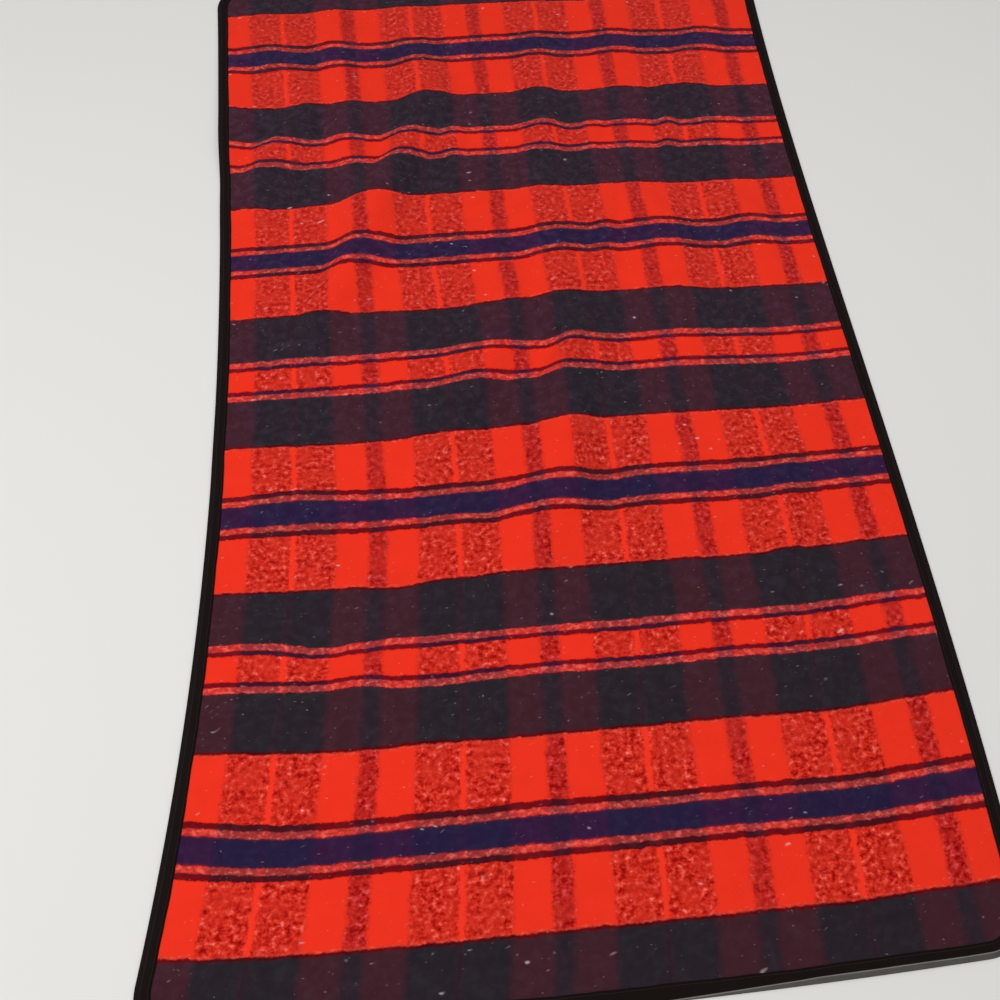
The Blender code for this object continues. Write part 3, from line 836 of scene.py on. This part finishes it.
class Plaid(Shading):
    """The cloth's shading. u runs across the throw and v along it."""

    def __init__(self):
        super().__init__("plaid")
        across, along = self.u, self.v
        self.far_share = self.step_up(along, *FAR_STRETCH)
        weft_place = self.wander(
            along, (self.grain(WEFT_WANDER_GRAIN), WEFT_WANDER), (self.grain(WEFT_FRAY_GRAIN), WEFT_FRAY))
        warp_place = self.wander(
            across, (self.grain(WARP_WANDER_GRAIN), WARP_WANDER), (self.grain(WARP_FRAY_GRAIN), WARP_FRAY))
        self.weft_out = self.mirrored(weft_place, WEFT_MIDDLE, WEFT_REPEAT)
        self.warp_out = self.mirrored(warp_place, WARP_MIDDLE, WARP_REPEAT)

    def mirrored(self, place, middle, repeat):
        """How far a place is from the middle of the nearest repeat."""
        return self.math("PINGPONG", self.math("SUBTRACT", place, middle), repeat / 2)

    def warp(self, name, soft=WARP_SOFT):
        """Where one kind of warp stripe lies."""
        greys = [(getattr(stripe, name),) * 3 + (1,) for stripe in WARP_STRIPES]
        return self.bands(self.warp_out, [stripe.width for stripe in WARP_STRIPES], greys, soft)

    def weft(self, name):
        """The weft bands' colours over one kind of warp, or one of their shares."""
        values = [getattr(band, name) for band in WEFT_BANDS]
        colours = [linear(*value) if isinstance(value, tuple) else (value,) * 3 + (1,) for value in values]
        return self.bands(self.weft_out, [band.width for band in WEFT_BANDS], colours, WEFT_SOFT)

    def stripes(self):
        """The plain colours where warp and weft cross."""
        colour = self.mix(self.warp("dark", WARP_SOFTER), self.weft("over_red"), self.weft("over_dark"))
        colour = self.mix(self.warp("navy", WARP_SOFTER), colour, self.weft("over_navy"))
        return self.mix(self.warp("line"), colour, self.weft("over_line"))

    def speckle(self, colour):
        """Dark warp shows through the red weft as a fine speckle, which is stronger in patches."""
        dark_warp = self.warp("dark")
        navy_warp = self.warp("navy")
        patches = self.step_up(self.grain(PATCH_GRAIN), *PATCHES)
        stops = [(stop, linear(*shade)) for stop, shade in SPECKLE]
        speckle = self.ramp(self.grain(SPECKLE_GRAIN), stops)
        for share, tint in ((navy_warp, SPECKLE_NAVY_TINT), (self.far_share, SPECKLE_FAR_TINT)):
            speckle = self.tinted(speckle, self.mix(share, (1, 1, 1, 1), tint))
        shows = self.math("MULTIPLY", self.math("MAXIMUM", dark_warp, navy_warp), self.weft("speckled"))
        strength = self.math(
            "MULTIPLY", self.between(patches, SPECKLE_FAINTEST, 1.0),
            self.between(self.far_share, 1.0, SPECKLE_FAR))
        return self.mix(self.math("MULTIPLY", shows, strength), colour, speckle)

    def mottle(self, colour):
        """The pale lines are blotched along their length, warm and cool."""
        noise = self.grain(BLOTCH_GRAIN)
        mottled = self.weft("mottled")
        warm = self.step_up(noise, *WARM_BLOTCHES)
        cool = self.step_down(noise, *COOL_BLOTCHES)
        for blotches, shade in ((warm, WARM_COLOUR), (cool, COOL_COLOUR)):
            share = self.math("MULTIPLY", self.math("MULTIPLY", mottled, blotches), BLOTCH_STRENGTH)
            colour = self.mix(share, colour, linear(*shade))
        return colour

    def slow_shade(self, colour):
        """The shade changes slowly over the cloth."""
        shade = self.between(self.grain(SHADE_GRAIN), 1 - SHADE_CHANGE, 1 + SHADE_CHANGE)
        return self.tinted(colour, shade)

    def haze_and_sheen(self, colour):
        """Pale fibres haze the dark cloth, with painted sheen faint near, stronger and more violet far."""
        # The tint is painted sheen, which changes from the near end to the far end
        tint = self.mix(self.far_share, HAZE_NEAR_SHEEN, HAZE_FAR_SHEEN)
        haze_and_sheen = self.tinted(self.ramp(self.grain(HAZE_GRAIN), HAZE), tint)
        red = self.split("ShaderNodeSeparateColor", colour)[0]
        return self.mix(self.step_down(red, *HAZE_GOES), colour, haze_and_sheen, blend="ADD")

    def lint(self, colour):
        """Small pale fibres lie at odd angles, most easily seen on the dark bands."""
        bend = self.grain(LINT_GRAIN)
        across = self.math("MULTIPLY_ADD", bend, LINT_BEND_ACROSS, self.u)
        along = self.math("MULTIPLY_ADD", bend, LINT_BEND_ALONG, self.v)
        for size, rarity, strongest in LINT:
            cells = self.tree.nodes.new("ShaderNodeTexVoronoi")
            cells.inputs["Scale"].default_value = 1.0
            self.feed(cells.inputs["Vector"], self.add("ShaderNodeCombineXYZ", {
                0: self.math("DIVIDE", across, size),
                1: self.math("DIVIDE", along, size / 2),
                2: strongest}))
            chance, strength, _ = self.split("ShaderNodeSeparateColor", cells.outputs["Color"])
            fleck = self.step_down(cells.outputs["Distance"], *LINT_GOES)
            fleck = self.math("MULTIPLY", fleck, self.math("GREATER_THAN", chance, rarity))
            fleck = self.math("MULTIPLY", fleck, self.between(strength, LINT_FAINTEST, strongest))
            colour = self.mix(fleck, colour, linear(*LINT_COLOUR))
        return colour

    def nap(self):
        """The height of the brushed nap: tufts of a few millimetres over finer fibres."""
        tufts = self.math("MULTIPLY", self.grain(TUFT_GRAIN), TUFT_RISE)
        fibres = self.math("MULTIPLY", self.grain(FIBRE_GRAIN), FIBRE_RISE)
        return self.math("ADD", tufts, fibres)


def plaid_material():
    """Brushed wool-like cloth in a tartan of red, black and navy."""
    plaid = Plaid()
    colour = plaid.stripes()
    for layer in (plaid.speckle, plaid.mottle, plaid.slow_shade, plaid.haze_and_sheen, plaid.lint):
        colour = layer(colour)
    return plaid.finish(colour, CLOTH_SURFACE, plaid.nap(), CLOTH_BUMP)


def fold_highlight_shares(tape, run, across):
    """The shares of the painted highlight on the tape's fold, in a strip and on its crest, both uneven."""
    inner = tape.add("ShaderNodeMapRange", {
        "Value": run, "From Min": STRIP_WIDENS[0], "From Max": STRIP_WIDENS[1],
        "To Min": STRIP_NARROW, "To Max": STRIP_WIDE})
    past_inner = tape.math("SUBTRACT", across, inner)
    strip = tape.math(
        "MULTIPLY", tape.step_up(past_inner, *STRIP_INNER), tape.step_down(across, *STRIP_OUTER))
    off_crest = tape.math("ABSOLUTE", tape.math("SUBTRACT", past_inner, CREST_INSET))
    crest = tape.step_down(off_crest, *CREST_HALF)
    on_near_side = tape.math("MULTIPLY", tape.step_up(run, *STRIP_COMES), tape.step_down(run, *STRIP_GOES))
    # The painted highlight is strongest along the near side
    highlight = tape.math(
        "MULTIPLY", tape.between(on_near_side, HIGHLIGHT_ELSEWHERE, 1.0),
        tape.between(tape.grain(HIGHLIGHT_GRAIN), HIGHLIGHT_LEAST, 1.0))
    return tape.math("MULTIPLY", highlight, strip), tape.math("MULTIPLY", highlight, crest)


def tape_material():
    """Matt black woven tape, ribbed across its width. u runs along it and v across it."""
    tape = Shading("tape")
    run, across = tape.u, tape.v
    ribs = tape.math("SINE", tape.math("MULTIPLY", run, 2 * math.pi / TAPE_RIB))
    fuzz = tape.grain(FUZZ_GRAIN)
    strip, crest = fold_highlight_shares(tape, run, across)
    colour = tape.mix(fuzz, linear(*TAPE_DARK), linear(*TAPE_FUZZY))
    # A painted highlight where the near side's fold catches the light: a pale strip and a paler crest
    colour = tape.mix(strip, colour, linear(*HIGHLIGHT_STRIP_COLOUR))
    colour = tape.mix(crest, colour, linear(*HIGHLIGHT_CREST_COLOUR))
    height = tape.math("ADD", tape.math("MULTIPLY", ribs, RIB_RISE), tape.math("MULTIPLY", fuzz, FUZZ_RISE))
    return tape.finish(colour, TAPE_SURFACE, height, TAPE_BUMP)


def thread_material():
    """Black sewing thread with a slight gloss."""
    thread = Shading("thread")
    place = thread.math("ADD", thread.u, thread.v)
    twist = thread.math("SINE", thread.math("MULTIPLY", place, 2 * math.pi / THREAD_TWIST))
    share = thread.between(twist, *THREAD_SHARES)
    colour = thread.mix(share, linear(*THREAD_DARK), linear(*THREAD_PALE))
    return thread.finish(colour, {"Roughness": THREAD_ROUGHNESS})


def add_camera():
    """A phone camera over the near end, looking down and along the throw."""
    roll = np.array((
        (math.cos(CAMERA_ROLL), math.sin(CAMERA_ROLL), 0),
        (-math.sin(CAMERA_ROLL), math.cos(CAMERA_ROLL), 0),
        (0, 0, 1)))
    tilt = np.array((
        (1, 0, 0),
        (0, -math.sin(CAMERA_TILT), -math.cos(CAMERA_TILT)),
        (0, math.cos(CAMERA_TILT), -math.sin(CAMERA_TILT))))
    yaw = np.array((
        (math.cos(CAMERA_YAW), math.sin(CAMERA_YAW), 0),
        (-math.sin(CAMERA_YAW), math.cos(CAMERA_YAW), 0),
        (0, 0, 1)))
    right, down, ahead = roll @ tilt @ yaw
    pose = np.eye(4)
    pose[:3, 0], pose[:3, 1], pose[:3, 2] = right, -down, -ahead
    pose[:3, 3] = (CAMERA_FOOT[0] - MIDDLE[0], CAMERA_FOOT[1] - MIDDLE[1], CAMERA_HEIGHT)
    data = bpy.data.cameras.new("camera")
    data.lens = CAMERA_LENS
    data.sensor_width = SENSOR_WIDTH
    camera = bpy.data.objects.new("camera", data)
    camera.matrix_world = pose.T.tolist()
    bpy.context.scene.collection.objects.link(camera)
    bpy.context.scene.camera = camera


def add_floor():
    """A pale plain floor just under the throw."""
    material = bpy.data.materials.new("floor")
    material.use_nodes = True
    shader = material.node_tree.nodes["Principled BSDF"]
    shader.inputs["Base Color"].default_value = FLOOR_COLOUR
    shader.inputs["Roughness"].default_value = FLOOR_ROUGHNESS
    signs = ((-1, -1), (1, -1), (1, 1), (-1, 1))
    corners = [(FLOOR_HALF * x, FLOOR_HALF * y, FLOOR_LEVEL) for x, y in signs]
    floor = new_object("floor", corners, [(0, 1, 2, 3)], material)


def add_light(name, place, aim, size, power):
    """A soft square lamp aimed at a point."""
    data = bpy.data.lights.new(name, "AREA")
    data.size = size
    data.energy = power
    lamp = bpy.data.objects.new(name, data)
    lamp.location = place
    direction = np.array(aim) - np.array(place)
    yaw = math.atan2(direction[1], direction[0]) - math.radians(90)
    tilt = math.atan2(math.hypot(direction[0], direction[1]), -direction[2])
    lamp.rotation_euler = (tilt, 0, yaw)
    bpy.context.scene.collection.objects.link(lamp)


def add_world():
    """Even white light from all round."""
    world = bpy.data.worlds.new("studio")
    world.use_nodes = True
    background = world.node_tree.nodes["Background"]
    background.inputs["Color"].default_value = (1, 1, 1, 1)
    background.inputs["Strength"].default_value = WORLD_STRENGTH
    bpy.context.scene.world = world


cloth = make_cloth(plaid_material())
binding = make_binding(tape_material())
thread = thread_material()
stitching = make_stitching("top_stitching", TAPE_TOP + STITCH_LIFT, 1, thread)
under_stitching = make_stitching("under_stitching", STITCH_LIFT, -1, thread)
for piece in (stitching, under_stitching):
    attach(piece, "root")
for piece, node, slot in ((cloth, "cloth", "plaid_cloth"), (binding, "binding", "binding_tape")):
    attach(piece, "root")
    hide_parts(node)
add_floor()
add_light("window", place=(-2.2, -0.9, 3.8), aim=(0, 0, 0), size=2.9, power=140)
add_light("fill", place=(1.8, 0.2, 2.8), aim=(0, 0, 0), size=2.4, power=26)
add_world()
add_camera()
bpy.context.scene.view_settings.view_transform = "Standard"
